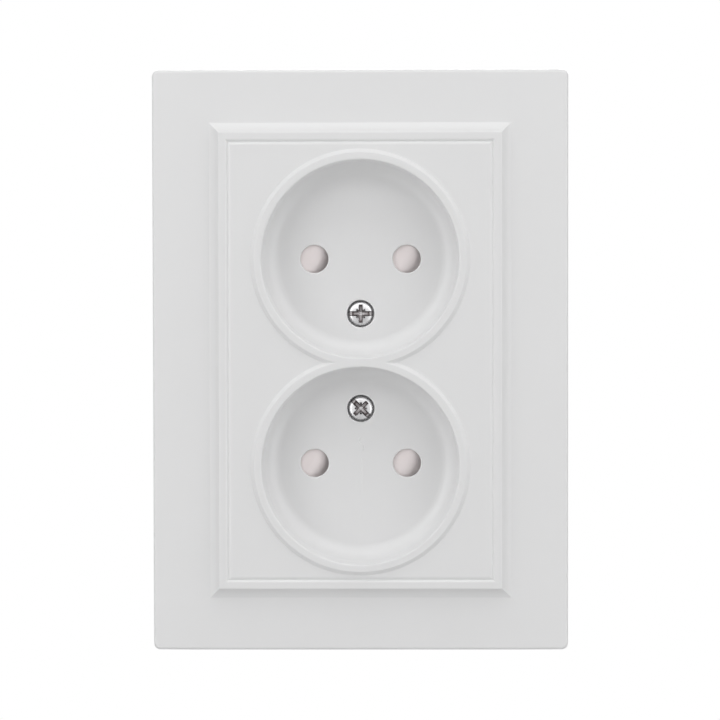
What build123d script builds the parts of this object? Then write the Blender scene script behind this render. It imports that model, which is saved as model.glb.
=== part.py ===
"""Double wall socket for a round wall box.

X runs to the right, Y into the wall and Z up. The origin is the middle of the mounting strap in the
wall plane. A level is a height above the wall plane towards the room, so it is negative in the wall box.
"""

import os
from math import atan, cos, degrees, hypot, radians, sin, tan

from build123d import *

# Plug that the socket takes
PIN_SPACING = 19.0
PIN_DIA = 4.8
PIN_LENGTH = 19.0
PIN_HOLE = 5.75

# Wells and the raised ring around them
WELL_DIA = 40.0
WELL_LAND = 2.0
WELL_DEPTH = 9.4
WELL_DRAFT = 1.0
WELL_FILLET = 3.2
RIM_ROUND = 0.4
RING_RISE = 0.7
RING_TOP_WIDTH = 1.55
RING_SLOPE = 0.75
RING_ROUND = 0.2
CUP_WALL = 1.6
FLOOR_THICK = 0.8
FLOOR_GAP = 1.3
HOLE_ROUND = 0.28

# Cover plate
COVER_SIDE = 4.55
COVER_END = 1.15
PLATE_RAISE = 0.3
COVER_THICK = 2.0
COVER_ROUND = 0.3
COVER_SINK = 0.05
SKIRT_DROP = 3.0
SKIRT_WALL = 1.2
SKIRT_CLEAR = 0.2
COVER_RIB = 1.2
COVER_RIB_DROP = 5.0

# Frame
BORDER_SIDE = 11.55
BORDER_END = 10.7
CROWN_DROP = 0.45
MOULDING_RISE = 2.2
MOULDING_SLOPE = 2.0
MOULDING_SAG = 0.28
MOULDING_FLAT = 1.85
MOULDING_ROUND = 0.3
FRAME_CORNER = 1.3
FRAME_ROUND = 0.6
FRAME_WALL = 2.0
FRAME_RIM = 4.5
FRAME_RIB = 1.2
FRAME_RIB_DROP = 3.0
LEDGE = 1.2
SEAM = 0.04
SEAM_ROUND = 0.15

# Cover screws and the bosses and bushes that they run through
SCREW_DROP = 11.25
SCREW_DIA = 3.0
SCREW_LENGTH = 11.0
HEAD_DIA = 5.1
HEAD_HEIGHT = 2.0
HEAD_ROUND = 0.65
HEAD_CLEAR = 0.25
HEAD_SINK = 0.25
SLOT_WIDTH = 0.75
SLOT_DEPTH = 0.85
CROSS_SPAN = 2.9
CROSS_WIDTH = 0.95
CROSS_DEPTH = 1.35
CROSS_TAPER = 12.0
THREAD_CLEAR = 0.04
SHANK_CLEAR = 0.2
TIP_CLEAR = 0.8
BOSS_DIA = 8.6
BOSS_LENGTH = 3.7
BOSS_CLEAR = 0.15
BUSH_DIA = 6.0
BUSH_LENGTH = 8.0
BUSH_CLEAR = 0.03

# Shutters and their springs
SHUTTER_THICK = 1.5
SHUTTER_PLAY = 0.15
SHUTTER_RAIL = 1.4
SHUTTER_CORNER = 3.0
PAD_LAP = 0.35
PIN_CLEAR = 0.3
NOSE_LAP = 0.15
SHUTTER_SINK = 0.9
NOSE_SPHERE = 7.0
NOSE_SHIFT_X = -1.2
NOSE_SHIFT_Z = 0.9
TRAVEL_END = 0.2
SPRING_DIA = 2.2
SPRING_WIRE = 0.35
SPRING_LENGTH = 10.4
SPRING_TURNS = 5.5
SPRING_CLEAR = 0.3
TAB_X = 4.2
TAB_THICK = 1.6

# Insulating base and its back
BASE_GAP = 0.9
BASE_WALL = 1.3
BASE_SIDE = 1.9
FRONT_WALL = 1.6
POCKET_CLEAR = 0.3
REAR_THICK = 2.0
REAR_ROUND = 0.6
BARRIER_THICK = 1.6
BARRIER_RISE = 4.0
BARRIER_LENGTH = 22.0
REAR_SCREW_STEP = 7.6
REAR_SCREW_DIA = 2.9
REAR_SCREW_LENGTH = 8.5
REAR_HEAD_DIA = 5.4
REAR_HEAD_HEIGHT = 1.8

# Contacts, clips and terminals
STRIP_THICK = 0.8
STRIP_WIDTH = 7.4
STRIP_GAP = 1.3
STRIP_END = 0.5
LEAF_WIDTH = 7.0
LEAF_FLARE = 1.1
LEAF_BELLY = 0.55
LEAF_PINCH = 5.0
CLIP_THICK = 0.5
CLIP_HEIGHT = 2.6
CLIP_SLIT = 2.0
CLIP_CLEAR = 0.06
TERMINAL_DIA = 4.0
TERMINAL_HEAD_DIA = 7.2
TERMINAL_HEAD_HEIGHT = 2.4
TERMINAL_REACH = 4.5
TERMINAL_SLOT = 1.1
TERMINAL_PLATE = 8.6
TERMINAL_PLATE_THICK = 1.4
TERMINAL_CLEAR = 0.6

# Mounting strap, rivets and claws
BOX_SPACING = 60.0
BOX_SLOT_WIDTH = 4.0
BOX_SLOT_LENGTH = 7.0
BOX_SLOT_EDGE = 3.0
STRAP_THICK = 1.2
STRAP_BAR = 4.7
STRAP_CLEAR = 0.3
STRAP_CORNER = 9.0
TAB_WIDTH = 7.0
TAB_REACH = 7.0
RIVET_DIA = 3.0
RIVET_HEAD_DIA = 5.2
RIVET_HEAD_HEIGHT = 0.8
RIVET_LENGTH = 8.0
CLAW_SHEET = 1.2
CLAW_WIDTH = 15.6
CLAW_GAP = 0.3
CLAW_SCREW_OUT = 3.2
CLAW_ARM_OUT = 3.0
CLAW_PIVOT_DEPTH = 3.2
CLAW_PIN_DIA = 2.0
CLAW_PIN_CLEAR = 0.04
CLAW_EYE = 2.3
CLAW_LENGTH = 13.3
CLAW_ARM = 3.2
CLAW_TOOTH = 1.7
CLAW_SCREW_DIA = 3.0
CLAW_HEAD_DIA = 5.4
CLAW_HEAD_HEIGHT = 1.7

# Plan sizes that follow from these
well_spacing = WELL_DIA + WELL_LAND
well_z = well_spacing / 2
rim_r = WELL_DIA / 2
ring_top_r = rim_r + RING_TOP_WIDTH
ring_foot_r = ring_top_r + RING_SLOPE
cover_w = 2 * (ring_foot_r + COVER_SIDE)
cover_h = well_spacing + 2 * (ring_foot_r + COVER_END)
opening_w = cover_w + 2 * SEAM
opening_h = cover_h + 2 * SEAM
moulding_w = opening_w + 2 * (MOULDING_FLAT + MOULDING_SLOPE)
moulding_h = opening_h + 2 * (MOULDING_FLAT + MOULDING_SLOPE)
frame_w = moulding_w + 2 * BORDER_SIDE
frame_h = moulding_h + 2 * BORDER_END
ledge_w = opening_w - 2 * LEDGE
ledge_h = opening_h - 2 * LEDGE
screw_z = well_z - SCREW_DROP

# Levels that follow from these
floor_back = STRAP_THICK + FLOOR_GAP
floor_front = floor_back + FLOOR_THICK
ring_top = floor_front + WELL_DEPTH
cover_face = ring_top - RING_RISE
ledge_level = cover_face - COVER_THICK
moulding_top = cover_face + COVER_SINK
border_level = moulding_top - MOULDING_RISE
head_seat = floor_front - HEAD_SINK - HEAD_HEIGHT
boss_end = floor_back - BOSS_LENGTH
bush_end = boss_end - BUSH_LENGTH
screw_tip = head_seat - SCREW_LENGTH
base_front = floor_back - BASE_GAP
shutter_top = base_front - SHUTTER_SINK
shutter_back = shutter_top - SHUTTER_THICK
nose_top = floor_back - SHUTTER_PLAY
recess_floor = shutter_back - SHUTTER_PLAY
pocket_top = recess_floor - FRONT_WALL
strip_front = floor_front - PIN_LENGTH - STRIP_GAP
base_back = strip_front - STRIP_THICK
rear_back = base_back - REAR_THICK

# Shutter plan, measured from the middle of its well
pad = PIN_HOLE / 2 + PAD_LAP
nose_r = PIN_HOLE / 2 + NOSE_LAP
travel = pad + PIN_DIA / 2 + PIN_CLEAR
shutter_end = PIN_SPACING / 2 + pad
window_half = PIN_DIA / 2 + PIN_CLEAR
shutter_half = window_half + SHUTTER_RAIL
recess_left = shutter_end + travel + TRAVEL_END
recess_right = shutter_end + SHUTTER_PLAY
recess_half = shutter_half + SHUTTER_PLAY
spring_z = recess_half + SPRING_CLEAR + SPRING_DIA / 2
spring_level = (shutter_top + shutter_back) / 2
spring_left = TAB_X - SPRING_LENGTH
channel_half = SPRING_DIA / 2 + SPRING_CLEAR
channel_floor = spring_level - channel_half

# Base, strap and claw plan
base_flat = recess_left + BASE_SIDE
corner_r = SHUTTER_CORNER + SHUTTER_PLAY
base_r = hypot(recess_left - corner_r, well_z + recess_half - corner_r) + corner_r + BASE_WALL
strap_size = max(2 * (base_r + STRAP_CLEAR + STRAP_BAR), BOX_SPACING + BOX_SLOT_LENGTH + 2 * BOX_SLOT_EDGE)
tab_end = base_flat - TAB_REACH
rivet_x = base_flat - TAB_REACH / 2
claw_screw_x = base_flat + CLAW_SCREW_OUT
claw_pivot_x = claw_screw_x + CLAW_ARM_OUT
claw_inner_x = base_flat + STRAP_CLEAR + CLAW_GAP
flange_z = CLAW_WIDTH / 2 - CLAW_SHEET
ear_z = CLAW_WIDTH / 2 + CLAW_GAP
leaf_in = PIN_DIA / 2
leaf_out = leaf_in + STRIP_THICK
pocket_x = leaf_out + LEAF_FLARE + POCKET_CLEAR
pocket_z = LEAF_WIDTH / 2 + CLIP_CLEAR + CLIP_THICK + POCKET_CLEAR
strip_half = well_z + LEAF_WIDTH / 2 + STRIP_END
rear_screw_z = screw_z + REAR_SCREW_STEP

os.makedirs("parts", exist_ok=True)


def level(height):
    """Plane parallel to the wall at a height above it, facing the room, its y axis up."""
    return Plane.XZ.offset(height)


def save(builder, name):
    """Label a finished piece and write it."""
    builder.part.label = name
    export_step(builder.part, f"parts/{name}.step")


# Frame: a hollow border that falls away a little to both sides, with a raised moulding mitred at its corners
crown_x = moulding_w / 2
crown_r = (BORDER_SIDE**2 + CROWN_DROP**2) / (2 * CROWN_DROP)
crown_turn = atan(BORDER_SIDE / (crown_r - CROWN_DROP))
crown_mid_x = crown_x + crown_r * sin(crown_turn / 2)
crown_mid_drop = crown_r * (1 - cos(crown_turn / 2))
with BuildPart() as outer_frame:
    with BuildSketch(level(0)):
        with Locations((0, PLATE_RAISE)):
            RectangleRounded(frame_w, frame_h, FRAME_CORNER)
    extrude(amount=border_level)
    with BuildSketch(Plane.XY.offset(PLATE_RAISE - frame_h)):
        for s in (1, -1):
            with BuildLine():
                ThreePointArc(
                    (s * crown_x, -border_level),
                    (s * crown_mid_x, crown_mid_drop - border_level),
                    (s * frame_w / 2, CROWN_DROP - border_level),
                )
                Polyline(
                    (s * frame_w / 2, CROWN_DROP - border_level),
                    (s * frame_w / 2, -moulding_top),
                    (s * crown_x, -moulding_top),
                    (s * crown_x, -border_level),
                )
            make_face()
    extrude(amount=2 * frame_h, mode=Mode.SUBTRACT)
    rim = outer_frame.edges().filter_by(lambda e: -e.center().Y > border_level - 2 * CROWN_DROP)
    # the round starts at one side and runs on along the edges that meet it smoothly
    fillet(rim.sort_by(Axis.X)[-1], FRAME_ROUND)
    # hollow-sloped moulding carried round the opening
    slope = hypot(MOULDING_SLOPE, MOULDING_RISE)
    foot_x = moulding_w / 2
    edge_x = foot_x - MOULDING_SLOPE
    with BuildLine() as path:
        Polyline(
            (opening_w / 2, -border_level, PLATE_RAISE),
            (opening_w / 2, -border_level, PLATE_RAISE + opening_h / 2),
            (-opening_w / 2, -border_level, PLATE_RAISE + opening_h / 2),
            (-opening_w / 2, -border_level, PLATE_RAISE - opening_h / 2),
            (opening_w / 2, -border_level, PLATE_RAISE - opening_h / 2),
            close=True,
        )
    with BuildSketch(Plane.XY.offset(PLATE_RAISE)) as profile:
        with BuildLine():
            ThreePointArc(
                (foot_x, -border_level),
                (
                    (foot_x + edge_x - 2 * MOULDING_SAG * MOULDING_RISE / slope) / 2,
                    -(border_level + moulding_top - 2 * MOULDING_SAG * MOULDING_SLOPE / slope) / 2,
                ),
                (edge_x, -moulding_top),
            )
            Polyline(
                (edge_x, -moulding_top),
                (opening_w / 2 - LEDGE, -moulding_top),
                (opening_w / 2 - LEDGE, -border_level + FRAME_WALL / 2),
                (foot_x, -border_level + FRAME_WALL / 2),
                (foot_x, -border_level),
            )
        make_face()
        edge = profile.vertices().group_by(Axis.Y)[0].sort_by(Axis.X)[-1]
        fillet(edge, MOULDING_ROUND)
    sweep(path=path.line, transition=Transition.RIGHT)
    with BuildSketch(level(ledge_level)):
        with Locations((0, PLATE_RAISE)):
            Rectangle(opening_w, opening_h)
    extrude(amount=moulding_top, mode=Mode.SUBTRACT)
    with BuildSketch(level(0)):
        with Locations((0, PLATE_RAISE)):
            Rectangle(ledge_w, ledge_h)
    extrude(amount=moulding_top, mode=Mode.SUBTRACT)
    mouth = outer_frame.faces().sort_by(Axis.Y)[0].inner_wires()[0]
    fillet(mouth.edges(), SEAM_ROUND)
    # hollow back between the outer wall and the rim around the opening, crossed by thin ribs
    with BuildSketch(level(0)):
        with Locations((0, PLATE_RAISE)):
            Rectangle(frame_w - 2 * FRAME_WALL, frame_h - 2 * FRAME_WALL)
            Rectangle(ledge_w + 2 * FRAME_WALL, ledge_h + 2 * FRAME_WALL, mode=Mode.SUBTRACT)
    extrude(amount=border_level - FRAME_WALL, mode=Mode.SUBTRACT)
    with BuildSketch(level(0)):
        with Locations((0, PLATE_RAISE)):
            Rectangle(ledge_w + 2 * FRAME_WALL, ledge_h + 2 * FRAME_WALL)
    extrude(amount=FRAME_RIM, mode=Mode.SUBTRACT)
    with BuildSketch(level(border_level - FRAME_WALL - FRAME_RIB_DROP)):
        with Locations((0, PLATE_RAISE)):
            with GridLocations(0, frame_h / 4, 1, 3):
                Rectangle(frame_w - FRAME_WALL, FRAME_RIB)
            with GridLocations(frame_w / 3, 0, 2, 1):
                Rectangle(FRAME_RIB, frame_h - FRAME_WALL)
            Rectangle(ledge_w + FRAME_WALL, ledge_h + FRAME_WALL, mode=Mode.SUBTRACT)
    extrude(amount=FRAME_RIB_DROP + FRAME_WALL / 2)
save(outer_frame, "outer_frame")

# Cover: a plate with two deep round wells inside one figure-eight ring
cup_slope = tan(radians(WELL_DRAFT))
with BuildPart() as socket_cover:
    with BuildSketch(level(ledge_level)):
        with Locations((0, PLATE_RAISE)):
            Rectangle(cover_w, cover_h)
    extrude(amount=COVER_THICK)
    fillet(socket_cover.faces().sort_by(Axis.Y)[0].edges(), COVER_ROUND)
    # locating skirt that drops into the frame, and one rib across the waist
    skirt_w = ledge_w - 2 * SKIRT_CLEAR
    skirt_h = ledge_h - 2 * SKIRT_CLEAR
    with BuildSketch(level(ledge_level - SKIRT_DROP)):
        with Locations((0, PLATE_RAISE)):
            Rectangle(skirt_w, skirt_h)
            Rectangle(skirt_w - 2 * SKIRT_WALL, skirt_h - 2 * SKIRT_WALL, mode=Mode.SUBTRACT)
    extrude(amount=SKIRT_DROP)
    with BuildSketch(level(ledge_level - COVER_RIB_DROP)):
        Rectangle(skirt_w, COVER_RIB)
    extrude(amount=COVER_RIB_DROP)
    # outside of the wells with the sloped ring on the face
    for z in (well_z, -well_z):
        cup_r = rim_r + CUP_WALL
        cup_foot_r = cup_r - cup_slope * (ledge_level - floor_back)
        with BuildSketch(Plane.XY.offset(z)) as cup:
            with BuildLine():
                Polyline(
                    (0, -floor_back),
                    (cup_foot_r, -floor_back),
                    (cup_r, -ledge_level),
                    (ring_foot_r, -cover_face),
                    (ring_top_r, -ring_top),
                    (0, -ring_top),
                    close=True,
                )
            make_face()
            corner = cup.vertices().group_by(Axis.Y)[0].sort_by(Axis.X)[-1]
            fillet(corner, RING_ROUND)
            foot = cup.vertices().group_by(Axis.Y)[-1].sort_by(Axis.X)[-1]
            fillet(foot, CUP_WALL)
        revolve(axis=Axis((0, 0, z), (0, 1, 0)))
    # inside of the wells: drafted wall, rounded rim and rounded foot
    for z in (well_z, -well_z):
        wall_top = ring_top - RIM_ROUND
        floor_r = rim_r - cup_slope * (wall_top - floor_front)
        bend = RIM_ROUND * (1 - cos(radians(45)))
        with BuildSketch(Plane.XY.offset(z)) as well:
            with BuildLine():
                Polyline((rim_r, -wall_top), (floor_r, -floor_front), (0, -floor_front), (0, -ring_top))
                Line((0, -ring_top), (rim_r + RIM_ROUND, -ring_top))
                ThreePointArc(
                    (rim_r + RIM_ROUND, -ring_top),
                    (rim_r + bend, -ring_top + bend),
                    (rim_r, -wall_top),
                )
            make_face()
            foot = well.vertices().group_by(Axis.Y)[-1].sort_by(Axis.X)[-1]
            fillet(foot, WELL_FILLET)
        revolve(axis=Axis((0, 0, z), (0, 1, 0)), mode=Mode.SUBTRACT)
    # bosses behind the floors for the cover screws
    with BuildSketch(level(boss_end)):
        with GridLocations(0, 2 * screw_z, 1, 2):
            Circle(BOSS_DIA / 2)
    extrude(amount=BOSS_LENGTH)
    with Locations(level(floor_front)):
        with GridLocations(0, 2 * screw_z, 1, 2):
            CounterBoreHole(
                SCREW_DIA / 2 + SHANK_CLEAR,
                HEAD_DIA / 2 + HEAD_CLEAR,
                floor_front - head_seat,
                depth=floor_front - boss_end,
            )
    # pin holes through the thin floors
    with Locations(level(floor_front)):
        with GridLocations(PIN_SPACING, well_spacing, 2, 2):
            Hole(PIN_HOLE / 2, depth=FLOOR_THICK)
    rings = socket_cover.edges().filter_by(GeomType.CIRCLE).filter_by(lambda e: e.radius < HEAD_DIA)
    mouths = rings.filter_by(lambda e: abs(e.center().Y + floor_front) < HOLE_ROUND / 2)
    fillet(mouths, HOLE_ROUND)
save(socket_cover, "socket_cover")

# Cover screws: round-edged pan heads with a slot and a cross, each left at its own angle
for name, z, turn in (("cover_screw_upper", screw_z, 0), ("cover_screw_lower", -screw_z, -45)):
    head_top = head_seat + HEAD_HEIGHT
    with BuildPart() as cover_screw:
        with BuildSketch(level(head_seat)):
            with Locations((0, z)):
                Circle(HEAD_DIA / 2)
        extrude(amount=HEAD_HEIGHT)
        fillet(cover_screw.faces().sort_by(Axis.Y)[0].edges(), HEAD_ROUND)
        with BuildSketch(level(screw_tip)):
            with Locations((0, z)):
                Circle(SCREW_DIA / 2)
        extrude(amount=SCREW_LENGTH)
        chamfer(cover_screw.faces().sort_by(Axis.Y)[-1].edges(), SCREW_DIA / 8)
        with BuildSketch(level(head_top)):
            with Locations(Location((0, z), turn)):
                Rectangle(2 * HEAD_DIA, SLOT_WIDTH)
        extrude(amount=-SLOT_DEPTH, mode=Mode.SUBTRACT)
        with BuildSketch(level(head_top)):
            with Locations(Location((0, z), turn)):
                Rectangle(CROSS_SPAN, CROSS_WIDTH)
                Rectangle(CROSS_WIDTH, CROSS_SPAN)
        extrude(amount=-CROSS_DEPTH, taper=CROSS_TAPER, mode=Mode.SUBTRACT)
    save(cover_screw, name)

# Shutters: a plate with one pin window and two noses whose slopes send it to the left
for name, z, side in (("shutter_upper", well_z, 1), ("shutter_lower", -well_z, -1)):
    with BuildPart() as shutter:
        for x in (-PIN_SPACING / 2, PIN_SPACING / 2):
            with Locations((x + NOSE_SHIFT_X, NOSE_SPHERE - nose_top, z + NOSE_SHIFT_Z)):
                Sphere(NOSE_SPHERE)
        with BuildSketch(level(shutter_back)):
            with Locations((-PIN_SPACING / 2, z), (PIN_SPACING / 2, z)):
                Circle(nose_r)
        extrude(amount=2 * (nose_top - shutter_back), mode=Mode.INTERSECT)
        with BuildSketch(level(shutter_back)):
            with Locations((0, z)):
                RectangleRounded(2 * shutter_end, 2 * shutter_half, SHUTTER_CORNER)
            with Locations((travel - PIN_SPACING / 2, z)):
                Rectangle(2 * window_half, 2 * window_half, mode=Mode.SUBTRACT)
        extrude(amount=SHUTTER_THICK)
        # foot that the spring pushes on
        tab_tip = spring_z + SPRING_DIA / 2
        with BuildSketch(level(shutter_back)):
            with Locations((TAB_X + TAB_THICK / 2, z + side * (tab_tip + window_half) / 2)):
                Rectangle(TAB_THICK, tab_tip - window_half)
        extrude(amount=SHUTTER_THICK)
    save(shutter, name)

# Shutter springs: open coils between the base and the foot of each shutter
for name, z, side in (("shutter_spring_upper", well_z, 1), ("shutter_spring_lower", -well_z, -1)):
    with BuildPart() as spring:
        coil = SPRING_LENGTH - SPRING_WIRE
        with BuildLine() as wire:
            Helix(
                coil / SPRING_TURNS,
                coil,
                (SPRING_DIA - SPRING_WIRE) / 2,
                center=(spring_left + SPRING_WIRE / 2, -spring_level, z + side * spring_z),
                direction=(1, 0, 0),
            )
        with BuildSketch(Plane(origin=wire.line @ 0, z_dir=wire.line % 0)):
            RegularPolygon(SPRING_WIRE / 2, 8)
        sweep(is_frenet=True)
    save(spring, name)

# Base and the shutter carrier on it: a round block with flat sides, recessed in front for the shutters and
# pocketed behind for the contacts, made as two mouldings that meet at the floor of the recess
with BuildPart() as block:
    with BuildSketch(level(base_back)):
        Circle(base_r)
        Rectangle(2 * base_flat, 4 * base_r, mode=Mode.INTERSECT)
    extrude(amount=base_front - base_back)
    for z, side in ((well_z, 1), (-well_z, -1)):
        with BuildSketch(level(recess_floor)):
            with Locations(((recess_right - recess_left) / 2, z)):
                RectangleRounded(recess_left + recess_right, 2 * recess_half, corner_r)
        extrude(amount=base_front - recess_floor, mode=Mode.SUBTRACT)
        channel_right = TAB_X + TAB_THICK + SPRING_CLEAR
        channel_tip = spring_z + channel_half
        channel_z = z + side * (channel_tip + shutter_half) / 2
        with BuildSketch(level(channel_floor)):
            with Locations(((channel_right + spring_left) / 2, channel_z)):
                Rectangle(channel_right - spring_left, channel_tip - shutter_half)
        extrude(amount=base_front - channel_floor, mode=Mode.SUBTRACT)
    # pockets for the contacts, open to the back, with a window in front of each
    with BuildSketch(level(base_back)):
        with GridLocations(PIN_SPACING, well_spacing, 2, 2):
            Rectangle(2 * pocket_x, 2 * pocket_z)
    extrude(amount=pocket_top - base_back, mode=Mode.SUBTRACT)
    with BuildSketch(level(pocket_top)):
        with GridLocations(PIN_SPACING, well_spacing, 2, 2):
            Rectangle(2 * (leaf_out + PIN_CLEAR), 2 * window_half)
    extrude(amount=recess_floor - pocket_top, mode=Mode.SUBTRACT)
    # beds for the strips and room for the ends of the terminal screws
    with BuildSketch(level(base_back)):
        with GridLocations(PIN_SPACING, 0, 2, 1):
            Rectangle(STRIP_WIDTH + 2 * POCKET_CLEAR, 2 * (strip_half + POCKET_CLEAR))
    extrude(amount=STRIP_THICK, mode=Mode.SUBTRACT)
    with BuildSketch(level(base_back)):
        with GridLocations(PIN_SPACING, 0, 2, 1):
            Circle(TERMINAL_DIA / 2 + TERMINAL_CLEAR)
    extrude(amount=STRIP_THICK + TERMINAL_REACH + TERMINAL_CLEAR, mode=Mode.SUBTRACT)
    # seats for the cover bosses, the bushes under them and the screw tips
    with Locations(level(base_front)):
        with GridLocations(0, 2 * screw_z, 1, 2):
            CounterBoreHole(
                BUSH_DIA / 2 + BUSH_CLEAR,
                BOSS_DIA / 2 + BOSS_CLEAR,
                base_front - boss_end,
                depth=base_front - bush_end,
            )
    with Locations(level(bush_end)):
        with GridLocations(0, 2 * screw_z, 1, 2):
            Hole(SCREW_DIA / 2 + SHANK_CLEAR, depth=max(bush_end - screw_tip, 0) + TIP_CLEAR)
    # seats for the strap's tabs, with the rivet holes
    with BuildSketch(level(0)):
        for x in (1, -1):
            with Locations((x * (tab_end - STRAP_CLEAR + base_flat) / 2, 0)):
                Rectangle(base_flat - tab_end + STRAP_CLEAR, TAB_WIDTH + 2 * STRAP_CLEAR)
    extrude(amount=base_front, mode=Mode.SUBTRACT)
    with Locations(level(0)):
        with GridLocations(2 * rivet_x, 0, 2, 1):
            Hole(RIVET_DIA / 2 + BUSH_CLEAR, depth=RIVET_LENGTH - STRAP_THICK + TIP_CLEAR)
    # pilot holes for the screws of the back
    with Locations(Plane(origin=(0, -base_back, 0), x_dir=(1, 0, 0), z_dir=(0, 1, 0))):
        with GridLocations(0, 2 * rear_screw_z, 1, 2):
            Hole(REAR_SCREW_DIA / 2 + THREAD_CLEAR, depth=REAR_SCREW_LENGTH - REAR_THICK + TIP_CLEAR)
for name, side in (("base_housing", Keep.BOTTOM), ("shutter_carrier", Keep.TOP)):
    with BuildPart() as moulding:
        add(block.part)
        split(bisect_by=level(recess_floor), keep=side)
    save(moulding, name)

# Back of the base: closes the contact pockets, leaves the terminals open and keeps them apart
with BuildPart() as rear_plate:
    with BuildSketch(level(rear_back)):
        Circle(base_r)
        Rectangle(2 * base_flat, 4 * base_r, mode=Mode.INTERSECT)
    extrude(amount=REAR_THICK)
    chamfer(rear_plate.faces().sort_by(Axis.Y)[-1].edges(), REAR_ROUND)
    with BuildSketch(level(rear_back - BARRIER_RISE)):
        Rectangle(BARRIER_THICK, BARRIER_LENGTH)
    extrude(amount=BARRIER_RISE, taper=-2)
    terminal_window = TERMINAL_PLATE + 2 * TERMINAL_CLEAR
    with BuildSketch(level(rear_back)):
        with GridLocations(PIN_SPACING, 0, 2, 1):
            RectangleRounded(terminal_window, terminal_window, TERMINAL_CLEAR)
    extrude(amount=REAR_THICK, mode=Mode.SUBTRACT)
    with Locations(level(base_back)):
        with GridLocations(0, 2 * rear_screw_z, 1, 2):
            Hole(REAR_SCREW_DIA / 2 + SHANK_CLEAR, depth=REAR_THICK)
save(rear_plate, "rear_plate")

# Screws of the back
with BuildPart() as rear_plate_screws:
    with BuildSketch(level(rear_back)):
        with GridLocations(0, 2 * rear_screw_z, 1, 2):
            Circle(REAR_HEAD_DIA / 2)
    extrude(amount=-REAR_HEAD_HEIGHT)
    chamfer(rear_plate_screws.faces().filter_by(Axis.Y).group_by(Axis.Y)[-1].edges(), REAR_HEAD_HEIGHT / 4)
    with BuildSketch(level(rear_back)):
        with GridLocations(0, 2 * rear_screw_z, 1, 2):
            Circle(REAR_SCREW_DIA / 2)
    extrude(amount=REAR_SCREW_LENGTH)
    with BuildSketch(level(rear_back - REAR_HEAD_HEIGHT)):
        with GridLocations(0, 2 * rear_screw_z, 1, 2):
            Rectangle(REAR_HEAD_DIA, SLOT_WIDTH)
    extrude(amount=SLOT_DEPTH, mode=Mode.SUBTRACT)
save(rear_plate_screws, "rear_plate_screws")

# Bushes for the cover screws
for name, z in (("threaded_bush_upper", screw_z), ("threaded_bush_lower", -screw_z)):
    with BuildPart() as bush:
        with BuildSketch(level(bush_end)):
            with Locations((0, z)):
                Circle(BUSH_DIA / 2)
                Circle(SCREW_DIA / 2 + THREAD_CLEAR, mode=Mode.SUBTRACT)
        extrude(amount=BUSH_LENGTH)
    save(bush, name)

# Contacts: one brass strip a side, folded at both ends into a pair of leaves that grip a pin
for name, x in (("contact_strip_left", -PIN_SPACING / 2), ("contact_strip_right", PIN_SPACING / 2)):
    with BuildPart() as contact:
        with BuildSketch(level(base_back)):
            with Locations((x, 0)):
                Rectangle(STRIP_WIDTH, 2 * strip_half)
                Circle(TERMINAL_DIA / 2 + THREAD_CLEAR, mode=Mode.SUBTRACT)
        extrude(amount=STRIP_THICK)
        mouth_y = POCKET_CLEAR - pocket_top
        pinch_y = mouth_y + LEAF_PINCH
        foot_y = -strip_front + STRIP_THICK / 2
        belly_y = (pinch_y + foot_y) / 2
        middle = leaf_in + STRIP_THICK / 2
        for z in (well_z, -well_z):
            with BuildSketch(Plane.XY.offset(z - LEAF_WIDTH / 2)):
                for s in (1, -1):
                    with BuildLine():
                        FilletPolyline(
                            (x + s * (middle + LEAF_FLARE), mouth_y),
                            (x + s * middle, pinch_y),
                            (x + s * (middle + LEAF_BELLY), belly_y),
                            (x + s * middle, foot_y),
                            radius=LEAF_PINCH / 2,
                        )
                    trace(line_width=STRIP_THICK)
            extrude(amount=LEAF_WIDTH)
    save(contact, name)

# Clips: open steel bands around the waist of each pair of leaves
pinch_level = pocket_top - POCKET_CLEAR - LEAF_PINCH
clip_x = leaf_out + CLIP_CLEAR + LEAF_FLARE * CLIP_HEIGHT / (2 * LEAF_PINCH)
clip_z = LEAF_WIDTH / 2 + CLIP_CLEAR
for row, z in (("upper", well_z), ("lower", -well_z)):
    for column, x in (("left", -PIN_SPACING / 2), ("right", PIN_SPACING / 2)):
        with BuildPart() as clip:
            with BuildSketch(level(pinch_level - CLIP_HEIGHT / 2)):
                with Locations((x, z)):
                    RectangleRounded(2 * (clip_x + CLIP_THICK), 2 * (clip_z + CLIP_THICK), CLIP_THICK)
                    Rectangle(2 * clip_x, 2 * clip_z, mode=Mode.SUBTRACT)
                with Locations((x, z + clip_z)):
                    Rectangle(CLIP_SLIT, 2 * CLIP_THICK, mode=Mode.SUBTRACT)
            extrude(amount=CLIP_HEIGHT)
        save(clip, f"contact_clip_{row}_{column}")

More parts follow.
